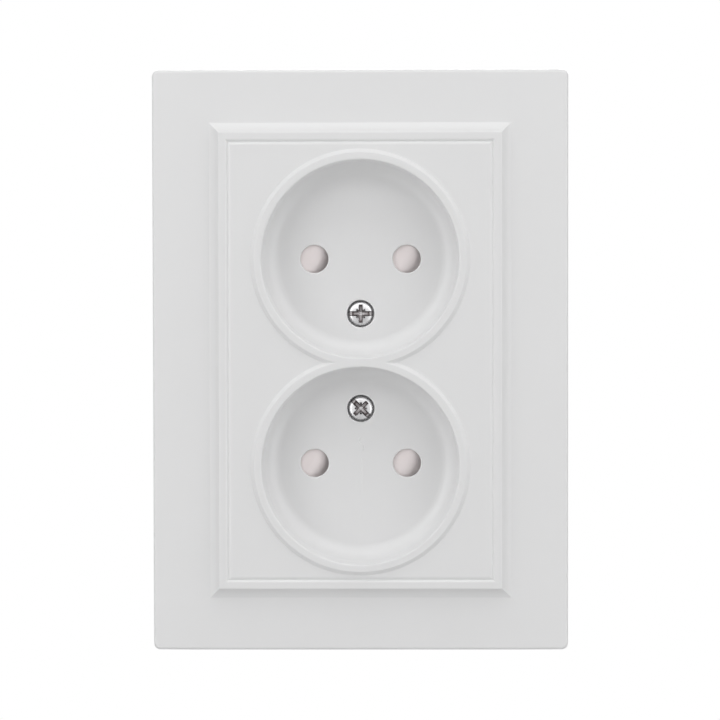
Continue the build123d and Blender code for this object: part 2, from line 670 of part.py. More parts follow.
# Terminals: a square plate under each slotted screw clamps the wire on the strip
plate_back = base_back - TERMINAL_PLATE_THICK
for name, x in (("left", -PIN_SPACING / 2), ("right", PIN_SPACING / 2)):
    with BuildPart() as terminal_plate:
        with BuildSketch(level(plate_back)):
            with Locations((x, 0)):
                RectangleRounded(TERMINAL_PLATE, TERMINAL_PLATE, TERMINAL_CLEAR)
                Circle(TERMINAL_DIA / 2 + SHANK_CLEAR, mode=Mode.SUBTRACT)
        extrude(amount=TERMINAL_PLATE_THICK)
    save(terminal_plate, f"terminal_plate_{name}")
    with BuildPart() as terminal_screw:
        with BuildSketch(level(plate_back)):
            with Locations((x, 0)):
                Circle(TERMINAL_HEAD_DIA / 2)
        extrude(amount=-TERMINAL_HEAD_HEIGHT)
        chamfer(terminal_screw.faces().sort_by(Axis.Y)[-1].edges(), TERMINAL_HEAD_HEIGHT / 6)
        with BuildSketch(level(plate_back)):
            with Locations((x, 0)):
                Circle(TERMINAL_DIA / 2)
        extrude(amount=TERMINAL_PLATE_THICK + STRIP_THICK + TERMINAL_REACH)
        chamfer(terminal_screw.faces().sort_by(Axis.Y)[0].edges(), TERMINAL_DIA / 8)
        with BuildSketch(level(plate_back - TERMINAL_HEAD_HEIGHT)):
            with Locations((x, 0)):
                Rectangle(TERMINAL_SLOT, TERMINAL_HEAD_DIA)
        extrude(amount=TERMINAL_HEAD_HEIGHT / 2, mode=Mode.SUBTRACT)
    save(terminal_screw, f"terminal_screw_{name}")

# Strap: steel plate around the base, with slots for the box screws and ears for the claws
with BuildPart() as mounting_strap:
    with BuildSketch(level(0)) as sheet:
        Rectangle(strap_size, strap_size)
        chamfer(sheet.vertices(), STRAP_CORNER)
        with BuildSketch(mode=Mode.PRIVATE) as opening:
            Circle(base_r + STRAP_CLEAR)
            Rectangle(2 * (base_flat + STRAP_CLEAR), 4 * base_r, mode=Mode.INTERSECT)
        add(opening.sketch, mode=Mode.SUBTRACT)
        for s in (1, -1):
            with Locations((s * (tab_end + base_flat + 2 * STRAP_CLEAR) / 2, 0)):
                Rectangle(base_flat - tab_end + 2 * STRAP_CLEAR, TAB_WIDTH)
        with GridLocations(2 * rivet_x, 0, 2, 1):
            Circle(RIVET_DIA / 2 + BUSH_CLEAR, mode=Mode.SUBTRACT)
        with GridLocations(BOX_SPACING, 0, 2, 1):
            SlotOverall(BOX_SLOT_LENGTH, BOX_SLOT_WIDTH, mode=Mode.SUBTRACT)
        with GridLocations(2 * claw_screw_x, 0, 2, 1):
            Circle(CLAW_SCREW_DIA / 2 + THREAD_CLEAR, mode=Mode.SUBTRACT)
    extrude(amount=STRAP_THICK)
    for z in (ear_z, -ear_z - CLAW_SHEET):
        with BuildSketch(Plane.XY.offset(z)):
            for s in (1, -1):
                with Locations((s * claw_pivot_x, CLAW_PIVOT_DEPTH / 2)):
                    Rectangle(2 * CLAW_EYE, CLAW_PIVOT_DEPTH)
                with Locations((s * claw_pivot_x, CLAW_PIVOT_DEPTH)):
                    Circle(CLAW_EYE)
                    Circle(CLAW_PIN_DIA / 2 + CLAW_PIN_CLEAR, mode=Mode.SUBTRACT)
        extrude(amount=CLAW_SHEET)
save(mounting_strap, "mounting_strap")

# Rivets through the strap's tabs into the base
with BuildPart() as strap_rivets:
    with BuildSketch(level(STRAP_THICK)):
        with GridLocations(2 * rivet_x, 0, 2, 1):
            Circle(RIVET_HEAD_DIA / 2)
    extrude(amount=RIVET_HEAD_HEIGHT)
    fillet(strap_rivets.faces().filter_by(Axis.Y).group_by(Axis.Y)[0].edges(), RIVET_HEAD_HEIGHT / 2)
    with BuildSketch(level(STRAP_THICK)):
        with GridLocations(2 * rivet_x, 0, 2, 1):
            Circle(RIVET_DIA / 2)
    extrude(amount=-RIVET_LENGTH)
save(strap_rivets, "strap_rivets")

# Claws: steel levers of a web and two toothed arms, on pins in the strap's ears, pushed out by a screw
web_depth = CLAW_PIVOT_DEPTH - CLAW_SHEET / 2
for name, s in (("left", -1), ("right", 1)):
    with BuildPart() as claw:
        for z in (flange_z, -flange_z - CLAW_SHEET):
            with BuildSketch(Plane.XY.offset(z)):
                heel = CLAW_PIVOT_DEPTH + CLAW_LENGTH
                arm_in = claw_pivot_x - CLAW_ARM / 2
                arm_out = claw_pivot_x + CLAW_ARM / 2
                with BuildLine():
                    Polyline(
                        (s * claw_inner_x, web_depth),
                        (s * arm_out, web_depth),
                        (s * arm_out, heel - 2 * CLAW_TOOTH),
                        (s * (arm_out + CLAW_TOOTH), heel - 2 * CLAW_TOOTH),
                        (s * (arm_out + CLAW_TOOTH / 2), heel - CLAW_TOOTH),
                        (s * (arm_out + CLAW_TOOTH), heel - CLAW_TOOTH),
                        (s * arm_out, heel),
                        (s * arm_in, heel),
                        (s * arm_in, web_depth + 2 * CLAW_SHEET),
                        (s * claw_inner_x, web_depth + CLAW_SHEET),
                        close=True,
                    )
                make_face()
                with Locations((s * claw_pivot_x, CLAW_PIVOT_DEPTH)):
                    Circle(CLAW_EYE)
                    Circle(CLAW_PIN_DIA / 2 + CLAW_PIN_CLEAR, mode=Mode.SUBTRACT)
            extrude(amount=CLAW_SHEET)
        web_end = claw_pivot_x - CLAW_EYE
        with BuildSketch(Plane.XY.offset(-CLAW_WIDTH / 2)):
            with Locations((s * (claw_inner_x + web_end) / 2, web_depth + CLAW_SHEET / 2)):
                Rectangle(web_end - claw_inner_x, CLAW_SHEET)
        extrude(amount=CLAW_WIDTH)
    save(claw, f"claw_{name}")
    with BuildPart() as claw_pin:
        pin_half = ear_z + CLAW_SHEET + CLAW_GAP
        with BuildSketch(Plane.XY.offset(-pin_half)):
            with Locations((s * claw_pivot_x, CLAW_PIVOT_DEPTH)):
                Circle(CLAW_PIN_DIA / 2)
        extrude(amount=2 * pin_half)
    save(claw_pin, f"claw_pin_{name}")
    with BuildPart() as claw_screw:
        with BuildSketch(level(STRAP_THICK)):
            with Locations((s * claw_screw_x, 0)):
                Circle(CLAW_HEAD_DIA / 2)
        extrude(amount=CLAW_HEAD_HEIGHT)
        fillet(claw_screw.faces().sort_by(Axis.Y)[0].edges(), CLAW_HEAD_HEIGHT / 3)
        with BuildSketch(level(STRAP_THICK)):
            with Locations((s * claw_screw_x, 0)):
                Circle(CLAW_SCREW_DIA / 2)
        extrude(amount=CLAW_GAP / 2 - STRAP_THICK - web_depth)
        with BuildSketch(level(STRAP_THICK + CLAW_HEAD_HEIGHT)):
            with Locations((s * claw_screw_x, 0)):
                Rectangle(CLAW_HEAD_DIA, SLOT_WIDTH)
        extrude(amount=-SLOT_DEPTH, mode=Mode.SUBTRACT)
    save(claw_screw, f"claw_screw_{name}")
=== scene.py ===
"""Looks of a double wall socket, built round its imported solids.

Size fields are millimetres and meshes are metres. X runs right, Y into the wall and Z up. A level is a height
above the wall plane towards the room, so a point at a level has y = -level.
"""

import logging
import math
from dataclasses import dataclass
from enum import Enum

import bmesh
import bpy
import numpy as np
from mathutils import Matrix, Vector


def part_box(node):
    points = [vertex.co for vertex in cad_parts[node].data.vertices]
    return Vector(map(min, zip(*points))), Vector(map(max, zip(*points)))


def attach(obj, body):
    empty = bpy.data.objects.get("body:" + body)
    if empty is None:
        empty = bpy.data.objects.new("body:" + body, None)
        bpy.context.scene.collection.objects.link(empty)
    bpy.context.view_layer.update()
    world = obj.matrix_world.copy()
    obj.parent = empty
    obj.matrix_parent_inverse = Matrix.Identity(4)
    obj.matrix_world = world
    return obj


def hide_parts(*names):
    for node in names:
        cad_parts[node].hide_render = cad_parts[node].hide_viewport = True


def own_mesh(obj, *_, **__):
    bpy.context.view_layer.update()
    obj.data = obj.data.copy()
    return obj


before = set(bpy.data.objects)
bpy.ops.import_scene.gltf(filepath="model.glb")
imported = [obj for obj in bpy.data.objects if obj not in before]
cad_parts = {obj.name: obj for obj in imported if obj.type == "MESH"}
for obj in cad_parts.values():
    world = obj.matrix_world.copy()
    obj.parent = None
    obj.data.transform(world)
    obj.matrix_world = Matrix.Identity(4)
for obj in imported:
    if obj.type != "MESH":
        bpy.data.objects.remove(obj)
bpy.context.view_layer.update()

MM = 0.001
WELD = 2e-7  # metres within which two points become one
SLIVER = 1e-8  # metres under which an edge is dropped
WELD_DIGITS = 4  # decimals of a millimetre to which a solid's points are compared
WELL_HALF = 21.0
PURE_WHITE = (1.0, 1.0, 1.0, 1.0)
ROOT = "socket"
# name of the point value that carries the painted shade of screws' drives and shanks
RECESS = "recess"
log = logging.getLogger("wall_socket")

Colour = tuple[float, float, float]


class Row(Enum):
    """The two wells, one above the other."""

    UPPER = 1
    LOWER = -1


class Side(Enum):
    """The two poles, side by side."""

    LEFT = -1
    RIGHT = 1


class Drive(Enum):
    """How a screw is turned."""

    SLOT = "slot"
    SLOT_AND_CROSS = "slot and cross"


class Signal:
    """A node's output that takes part in arithmetic: each operation adds one Math node."""

    def __init__(self, graph: "Graph", socket: bpy.types.NodeSocket) -> None:
        """Keep the graph and the output socket."""
        self.graph = graph
        self.socket = socket

    def _math(self, operation: str, first: object, second: object) -> "Signal":
        """Add a Math node for two values or signals."""
        return self.graph.add("ShaderNodeMath", {"operation": operation}, {0: first, 1: second})

    def __add__(self, other: object) -> "Signal":
        """Sum."""
        return self._math("ADD", self, other)

    def __radd__(self, other: object) -> "Signal":
        """Sum with the number first."""
        return self._math("ADD", other, self)

    def __sub__(self, other: object) -> "Signal":
        """Difference."""
        return self._math("SUBTRACT", self, other)

    def __rsub__(self, other: object) -> "Signal":
        """Difference with the number first."""
        return self._math("SUBTRACT", other, self)

    def __mul__(self, other: object) -> "Signal":
        """Product."""
        return self._math("MULTIPLY", self, other)

    def __rmul__(self, other: object) -> "Signal":
        """Product with the number first."""
        return self._math("MULTIPLY", other, self)


class Graph:
    """The node tree of one material or of the world."""

    def __init__(self, tree: bpy.types.NodeTree) -> None:
        """Empty the tree and keep it."""
        self.tree = tree
        tree.nodes.clear()

    def add(self, kind: str, settings: dict | None = None, sockets: dict | None = None, output: object = 0) -> Signal:
        """Add one node.

        Args:
            kind: the node's type.
            settings: attributes, which are set first; "stops" holds a colour ramp's (place, grey) pairs.
            sockets: values or signals by input name or number.
            output: the name or number of the output that is returned.

        Returns:
            The chosen output as a signal.
        """
        node = self.tree.nodes.new(kind)
        for name, value in (settings or {}).items():
            if name == "stops":
                ramp = node.color_ramp.elements
                while len(ramp) < len(value):
                    ramp.new(1.0)
                for stop, (place, grey) in zip(ramp, value):
                    stop.position = place
                    stop.color = (grey, grey, grey, 1.0)
            else:
                setattr(node, name, value)
        for name, value in (sockets or {}).items():
            if isinstance(value, Signal):
                self.tree.links.new(value.socket, node.inputs[name])
            else:
                node.inputs[name].default_value = value
        return Signal(self, node.outputs[output] if len(node.outputs) else None)

    def blend(self, factor: Signal, low: Colour | Signal, high: Colour) -> Signal:
        """Mix two colours by a signal; the first colour may be a signal too."""
        first = low if isinstance(low, Signal) else (*low, 1.0)
        return self.add("ShaderNodeMix", {"data_type": "RGBA"}, {0: factor, 6: first, 7: (*high, 1.0)}, 2)

    def place(self, stretch: tuple[float, float, float] = (1.0, 1.0, 1.0)) -> Signal:
        """Object coordinates, in metres, stretched along the axes."""
        here = self.add("ShaderNodeTexCoord", output="Object")
        return self.add("ShaderNodeMapping", None, {"Vector": here, "Scale": stretch})

    def noise(self, at: Signal, size: float, detail: float = 2.0, roughness: float = 0.5) -> Signal:
        """Cloudy noise from 0 to 1 whose features are about size millimetres wide."""
        sockets = {"Vector": at, "Scale": 1.0 / (size * MM), "Detail": detail, "Roughness": roughness}
        return self.add("ShaderNodeTexNoise", None, sockets)

    def ramp(self, value: Signal, *stops: tuple[float, float]) -> Signal:
        """Grey level of a value by (place, grey) stops."""
        return self.add("ShaderNodeValToRGB", {"stops": stops}, {"Fac": value})

    def painted(self, name: str) -> Signal:
        """A value that the piece's own points carry."""
        return self.add("ShaderNodeAttribute", {"attribute_name": name}, output="Fac")


def blank(name: str) -> tuple[bpy.types.Material, Graph]:
    """A new material and its empty node tree."""
    made = bpy.data.materials.new(name)
    made.use_nodes = True
    return made, Graph(made.node_tree)


@dataclass(frozen=True)
class Finish:
    """A finish that Object coordinates drive, made once and then shared."""

    name: str
    colour: Colour
    roughness: float

    def material(self) -> bpy.types.Material:
        """The finish's material, made at the first call."""
        made = bpy.data.materials.get(self.name)
        if made is None:
            made, graph = blank(self.name)
            surface = graph.add("ShaderNodeBsdfPrincipled", None, self.sockets(graph))
            graph.add("ShaderNodeOutputMaterial", None, {"Surface": surface})
        return made

    def sockets(self, graph: Graph) -> dict:
        """Values and links of the surface shader."""
        raise NotImplementedError

    def shade(self, factor: float) -> Colour:
        """The colour, darker or lighter by a factor."""
        return tuple(min(c * factor, 1.0) for c in self.colour)


@dataclass(frozen=True)
class Plastic(Finish):
    """Moulded plastic: a faint drift of colour from the flow in the mould, a fine skin and a soft sheen."""

    skin: float = 0.5
    relief: float = 0.004
    drift: float = 0.012
    flow_size: float = 14.0
    swell_size: float = 6.0
    skin_share: float = 0.35
    sheen_swing: float = 0.08
    ior: float = 1.5

    def sockets(self, graph: Graph) -> dict:
        """Colour drifts over centimetres; roughness and relief follow the skin's grain."""
        at = graph.place()
        flow = graph.noise(at, self.flow_size, detail=3.0)
        grain = graph.noise(at, self.skin)
        swell = graph.noise(at, self.swell_size, detail=1.0)
        height = grain * self.skin_share + swell
        sockets = {"Strength": 1.0, "Distance": self.relief * MM, "Height": height}
        return {
            "Base Color": graph.blend(flow, self.shade(1.0 - self.drift), self.shade(1.0 + self.drift)),
            "Roughness": self.roughness - self.sheen_swing / 2.0 + self.sheen_swing * grain,
            "IOR": self.ior,
            "Normal": graph.add("ShaderNodeBump", None, sockets),
        }


@dataclass(frozen=True)
class Grained(Finish):
    """Insulating plastic with the grain of a spark-eroded mould."""

    grain: float = 0.25
    relief: float = 0.02
    strength: float = 0.8
    flow_size: float = 9.0
    flow_share: float = 0.6
    pit_share: float = 0.4
    dark: float = 0.93
    light: float = 1.05
    sheen_swing: float = 0.12

    def sockets(self, graph: Graph) -> dict:
        """Pits and lands of the grain set the relief and the roughness."""
        at = graph.place()
        pits = graph.noise(at, self.grain, detail=3.0, roughness=0.6)
        flow = graph.noise(at, self.flow_size)
        tone = flow * self.flow_share + pits * self.pit_share
        sockets = {"Strength": self.strength, "Distance": self.relief * MM, "Height": pits}
        return {
            "Base Color": graph.blend(tone, self.shade(self.dark), self.shade(self.light)),
            "Roughness": self.roughness + self.sheen_swing * pits,
            "Normal": graph.add("ShaderNodeBump", None, sockets),
        }


@dataclass(frozen=True)
class Metal(Finish):
    """Rolled or plated metal: fine lines along the rolling direction, cloudy tone and dull spots."""

    line: tuple[float, float, float] = (1.0, 1.0, 0.04)
    line_width: float = 0.12
    spot: float = 1.6
    spot_range: tuple[float, float] = (0.38, 0.72)
    dulled: Colour = (0.5, 0.5, 0.5)
    tarnish: float = 0.35
    relief: float = 0.006
    strength: float = 0.7
    line_share: float = 0.7
    spot_share: float = 0.5
    line_sheen: float = 0.16
    dull_sheen: float = 0.25

    def sockets(self, graph: Graph) -> dict:
        """Rolling lines roughen the surface; clouds mix the clean colour with the dulled one."""
        lines = graph.noise(graph.place(self.line), self.line_width, detail=3.0, roughness=0.6)
        cloud = graph.noise(graph.place(), self.spot, detail=3.0, roughness=0.55)
        clean, stained = self.spot_range
        dull = graph.ramp(cloud, (clean, 0.0), (stained, self.tarnish))
        height = lines * self.line_share + cloud * self.spot_share
        sockets = {"Strength": self.strength, "Distance": self.relief * MM, "Height": height}
        return {
            "Base Color": graph.blend(dull, self.colour, self.dulled),
            "Metallic": 1.0,
            "Roughness": self.roughness + self.line_sheen * lines + self.dull_sheen * dull,
            "Normal": graph.add("ShaderNodeBump", None, sockets),
        }


@dataclass(frozen=True)
class ScrewPlating(Metal):
    """Bright plating with painted shade in its drive and on its shank, where the points' recess value darkens and
    roughens it.
    """

    # colour of the painted shade in the drive and on the shank
    recess_shade: Colour = (0.12, 0.095, 0.095)
    recess_roughness: float = 0.3

    def sockets(self, graph: Graph) -> dict:
        """As rolled metal, with the points' own recess value mixing in painted shade and roughening it."""
        made = super().sockets(graph)
        recess = graph.painted(RECESS)
        # painted shade: the recess value mixes the colour towards the dark one
        made["Base Color"] = graph.blend(recess, made["Base Color"], self.recess_shade)
        made["Roughness"] = made["Roughness"] + self.recess_roughness * recess
        return made


WHITE = Plastic("white_moulding", (0.83, 0.83, 0.832), 0.32)
SHUTTER = Plastic("shutter_moulding", (0.91, 0.84, 0.835), 0.36, skin=0.3, relief=0.006)
BASE = Grained("grey_base", (0.56, 0.57, 0.57), 0.5)
ZINC = ScrewPlating("zinc_screw", (0.68, 0.68, 0.69), 0.16, spot=0.8, dulled=(0.47, 0.46, 0.46), tarnish=0.6)
SHEET = Metal("zinc_sheet", (0.66, 0.67, 0.68), 0.3, spot=3.5, dulled=(0.5, 0.51, 0.53))
SPRING = Metal("spring_steel", (0.56, 0.57, 0.59), 0.25, line=(0.05, 1.0, 1.0), dulled=(0.4, 0.4, 0.42))
BRASS = Metal("rolled_brass", (0.80, 0.60, 0.27), 0.24, spot=4.0, dulled=(0.55, 0.36, 0.16), tarnish=0.5)


class Skin:
    """A mesh in the making: grids of points, each worked out as a function of two parameters."""

    def __init__(self) -> None:
        """Start with no points."""
        self.points: list[np.ndarray] = []
        self.faces: list[np.ndarray] = []
        self.paint: list[np.ndarray] = []
        self.count = 0

    def grid(
        self, x: np.ndarray, level: np.ndarray, z: np.ndarray, around: bool = False, paint: np.ndarray | float = 0.0
    ) -> None:
        """Add a grid of points joined by quads.

        Args:
            x: places to the right, rows by columns, or what broadcasts to that.
            level: heights above the wall plane.
            z: places upwards.
            around: whether the last column joins the first.
            paint: the recess value that the points carry, their share of painted shade.
        """
        x, level, z, paint = np.broadcast_arrays(x, level, z, paint)
        ids = np.arange(x.size).reshape(x.shape) + self.count
        if around:
            ids = np.hstack([ids, ids[:, :1]])
        quads = np.stack([ids[:-1, :-1], ids[1:, :-1], ids[1:, 1:], ids[:-1, 1:]], -1)
        self.points.append(np.stack([x, -level, z], -1).reshape(-1, 3) * MM)
        self.faces.append(quads.reshape(-1, 4))
        self.paint.append(paint.reshape(-1))
        self.count += x.size

    def rings(
        self, centre: tuple[float, float], r: np.ndarray, level: np.ndarray, a: np.ndarray,
        paint: np.ndarray | float = 0.0,
    ) -> None:
        """Add rings about a line into the wall: x = cx + r cos a, z = cz + r sin a.

        Args:
            centre: where the line passes, as (x, z).
            r: distances from the line.
            level: heights above the wall plane.
            a: angles, one per column.
            paint: the recess value that the points carry, their share of painted shade.
        """
        self.grid(centre[0] + r * np.cos(a), level, centre[1] + r * np.sin(a), around=True, paint=paint)

    def piece(self, name: str, finish: Finish, slot: str, body: str = ROOT, crease: float = 32.0) -> bpy.types.Object:
        """Make the object: weld the grids, point the faces outwards, smooth them up to a crease, dress and ride.

        Args:
            name: the object's name.
            finish: what it is made of.
            slot: not used.
            body: the body that it moves with.
            crease: faces meeting at more degrees than this stay sharp.

        Returns:
            The finished object.
        """
        mesh = bpy.data.meshes.new(name)
        mesh.from_pydata(np.vstack(self.points), [], np.vstack(self.faces).tolist())
        value = mesh.attributes.new(RECESS, "FLOAT", "POINT")
        value.data.foreach_set("value", np.concatenate(self.paint).astype(np.float32))
        work = bmesh.new()
        work.from_mesh(mesh)
        bmesh.ops.remove_doubles(work, verts=work.verts, dist=WELD)
        bmesh.ops.dissolve_degenerate(work, edges=work.edges, dist=SLIVER)
        bmesh.ops.recalc_face_normals(work, faces=work.faces)
        work.to_mesh(mesh)
        work.free()
        mesh.shade_smooth()
        mesh.set_sharp_from_angle(angle=math.radians(crease))
        made = bpy.data.objects.new(name, mesh)
        bpy.context.scene.collection.objects.link(made)
        mesh.materials.append(finish.material())
        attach(made, body)
        return made


def smooth(value: np.ndarray, low: float, high: float) -> np.ndarray:
    """Ease from 0 at low to 1 at high: 3t^2 - 2t^3 of the clipped share t."""
    t = np.clip((value - low) / (high - low), 0.0, 1.0)
    return t * t * (3.0 - 2.0 * t)


def circle(steps: int) -> np.ndarray:
    """Angles round a circle, as one row."""
    return np.linspace(0.0, 2.0 * np.pi, steps, endpoint=False)[None, :]


def dress(finish: Finish, *nodes: str) -> list[bpy.types.Object]:
    """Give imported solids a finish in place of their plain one.

    Args:
        finish: what they are made of.
        nodes: the solids' names.

    Returns:
        The solids.
    """
    solids = [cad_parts[name] for name in nodes]
    for solid in solids:
        solid.data.materials.clear()
        solid.data.materials.append(finish.material())
    return solids


def both(stem: str, choice: type[Enum]) -> list[str]:
    """The names of the two solids of a pair, such as claw_left and claw_right."""
    return [f"{stem}_{one.name.lower()}" for one in choice]


def corners(node: str) -> tuple[np.ndarray, np.ndarray]:
    """A solid's lowest and highest corners in millimetres."""
    low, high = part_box(node)
    return np.array(low) / MM, np.array(high) / MM


def welded(node: str) -> tuple[np.ndarray, np.ndarray, np.ndarray]:
    """A copy of a solid's surface with the seams between its faces closed.

    Args:
        node: the solid's name.

    Returns:
        Points in millimetres, triangles, and the normal of each triangle's corners.
    """
    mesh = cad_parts[node].data
    points = np.empty(3 * len(mesh.vertices), np.float32)
    mesh.vertices.foreach_get("co", points)
    corner = np.empty(len(mesh.loops), np.int32)
    mesh.loops.foreach_get("vertex_index", corner)
    normals = np.empty(3 * len(mesh.loops), np.float32)
    mesh.corner_normals.foreach_get("vector", normals)
    points = points.reshape(-1, 3).astype(float) / MM
    _, first, back = np.unique(np.round(points, WELD_DIGITS), axis=0, return_index=True, return_inverse=True)
    faces = back.reshape(-1)[corner].reshape(-1, 3)
    whole = (faces != np.roll(faces, 1, 1)).all(1)
    return points[first], faces[whole], normals.reshape(-1, 3, 3)[whole].astype(float)


def recast(
    node: str, points: np.ndarray, faces: np.ndarray, normals: np.ndarray, finish: Finish, body: str = ROOT
) -> bpy.types.Object:
    """Make the reshaped copy of a solid and let it stand for it.

    Args:
        node: the solid's name.
        points: places in millimetres.
        faces: triangles.
        normals: the normal of each triangle's corners.
        finish: what it is made of.
        body: the body that it moves with.

    Returns:
        The finished object.
    """
    mesh = bpy.data.meshes.new(f"{node}_fine")
    mesh.from_pydata(points * MM, [], faces.tolist())
    mesh.shade_smooth()
    mesh.normals_split_custom_set(normals.reshape(-1, 3).tolist())
    mesh.materials.append(finish.material())
    made = bpy.data.objects.new(mesh.name, mesh)
    bpy.context.scene.collection.objects.link(made)
    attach(made, body)
    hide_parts(node)
    return made


@dataclass(frozen=True)
class SlotCut:
    """A slot across a screw's head, with painted shade on its floor, darker at the foot of its wall. Its wall and its
    foot are bands of distance from the edge of its width.
    """

    width: float = 0.75
    depth: float = 0.85
    wall: tuple[float, float] = (-0.08, 0.04)
    foot: tuple[float, float] = (-0.16, -0.04)
    floor_shade: float = 0.55
    foot_shade: float = 0.3

    def cut(self, v: np.ndarray) -> tuple[np.ndarray, np.ndarray]:
        """Depths and painted shade values at distances v from the slot's line: full inside and eased to 0 at the
        wall.
        """
        away, half = np.abs(v), self.width / 2.0
        inside = 1.0 - smooth(away, half + self.wall[0], half + self.wall[1])
        foot = smooth(away, half + self.foot[0], half + self.foot[1])
        return inside * self.depth, self.floor_shade * inside + self.foot_shade * inside * foot


@dataclass(frozen=True)
class CrossCut:
    """A cross punched into a screw's head, with four small ticks half-way between its arms.

    Bands across an arm are distances from its half width, and bands along it are shares of its reach. Arms and ticks
    carry painted shade, with less of it in the middle as a painted highlight.
    """

    reach: float = 1.85
    half: float = 0.42
    depth: float = 1.45
    taper: float = 0.06
    rise: float = 0.45
    wall: tuple[float, float] = (-0.05, 0.03)
    end: tuple[float, float] = (0.94, 1.02)
    foot: tuple[float, float] = (-0.28, -0.10)
    foot_end: tuple[float, float] = (0.6, 0.9)
    floor_shade: float = 0.62
    foot_shade: float = 0.33
    tick_reach: float = 1.2
    tick_wall: tuple[float, float] = (0.08, 0.2)
    tick_end: tuple[float, float] = (0.9, 1.05)
    tick_rise: float = 0.5
    tick_shade: float = 0.7
    lit_middle: tuple[float, float] = (0.25, 0.6)
    lit_middle_share: float = 0.55

    def arms(self, along: np.ndarray, across: np.ndarray) -> tuple[np.ndarray, np.ndarray]:
        """Two arms on one line, which get narrower and shallower outwards.

        Args:
            along: places along the line.
            across: distances from the line.

        Returns:
            Depths and painted shade values.
        """
        out, away = np.abs(along) / self.reach, np.abs(across)
        narrow = self.taper * out
        arm = 1.0 - smooth(away, self.half + self.wall[0] - narrow, self.half + self.wall[1] - narrow)
        arm = arm * (1.0 - smooth(out, *self.end))
        foot = smooth(away, self.half + self.foot[0], self.half + self.foot[1])
        foot = np.maximum(foot, smooth(out, *self.foot_end))
        depth = arm * self.depth * (1.0 - self.rise * np.minimum(out, 1.0))
        return depth, arm * (self.floor_shade + self.foot_shade * foot)

    def ticks(self, along: np.ndarray, across: np.ndarray) -> tuple[np.ndarray, np.ndarray]:
        """Two ticks on one line, which get shallower outwards: depths and painted shade values as for arms."""
        out = np.abs(along) / self.tick_reach
        tick = (1.0 - smooth(np.abs(across), *self.tick_wall)) * (1.0 - smooth(out, *self.tick_end))
        return tick * self.depth * (1.0 - self.tick_rise * np.minimum(out, 1.0)), self.tick_shade * tick

    def cut(self, u: np.ndarray, v: np.ndarray) -> tuple[np.ndarray, np.ndarray]:
        """The deepest and the darkest of the arms and the ticks, at places u along the slot and v across it."""
        p, q = (u + v) / math.sqrt(2.0), (u - v) / math.sqrt(2.0)
        depths, darks = zip(self.arms(u, v), self.arms(v, u), self.ticks(p, q), self.ticks(q, p))
        return np.maximum.reduce(depths), np.maximum.reduce(darks)

    def left(self, r: np.ndarray) -> np.ndarray:
        """The share of the painted shade that is kept at a distance from the middle; the middle keeps less, a painted
        highlight.
        """
        return 1.0 - self.lit_middle_share * (1.0 - smooth(r, *self.lit_middle))


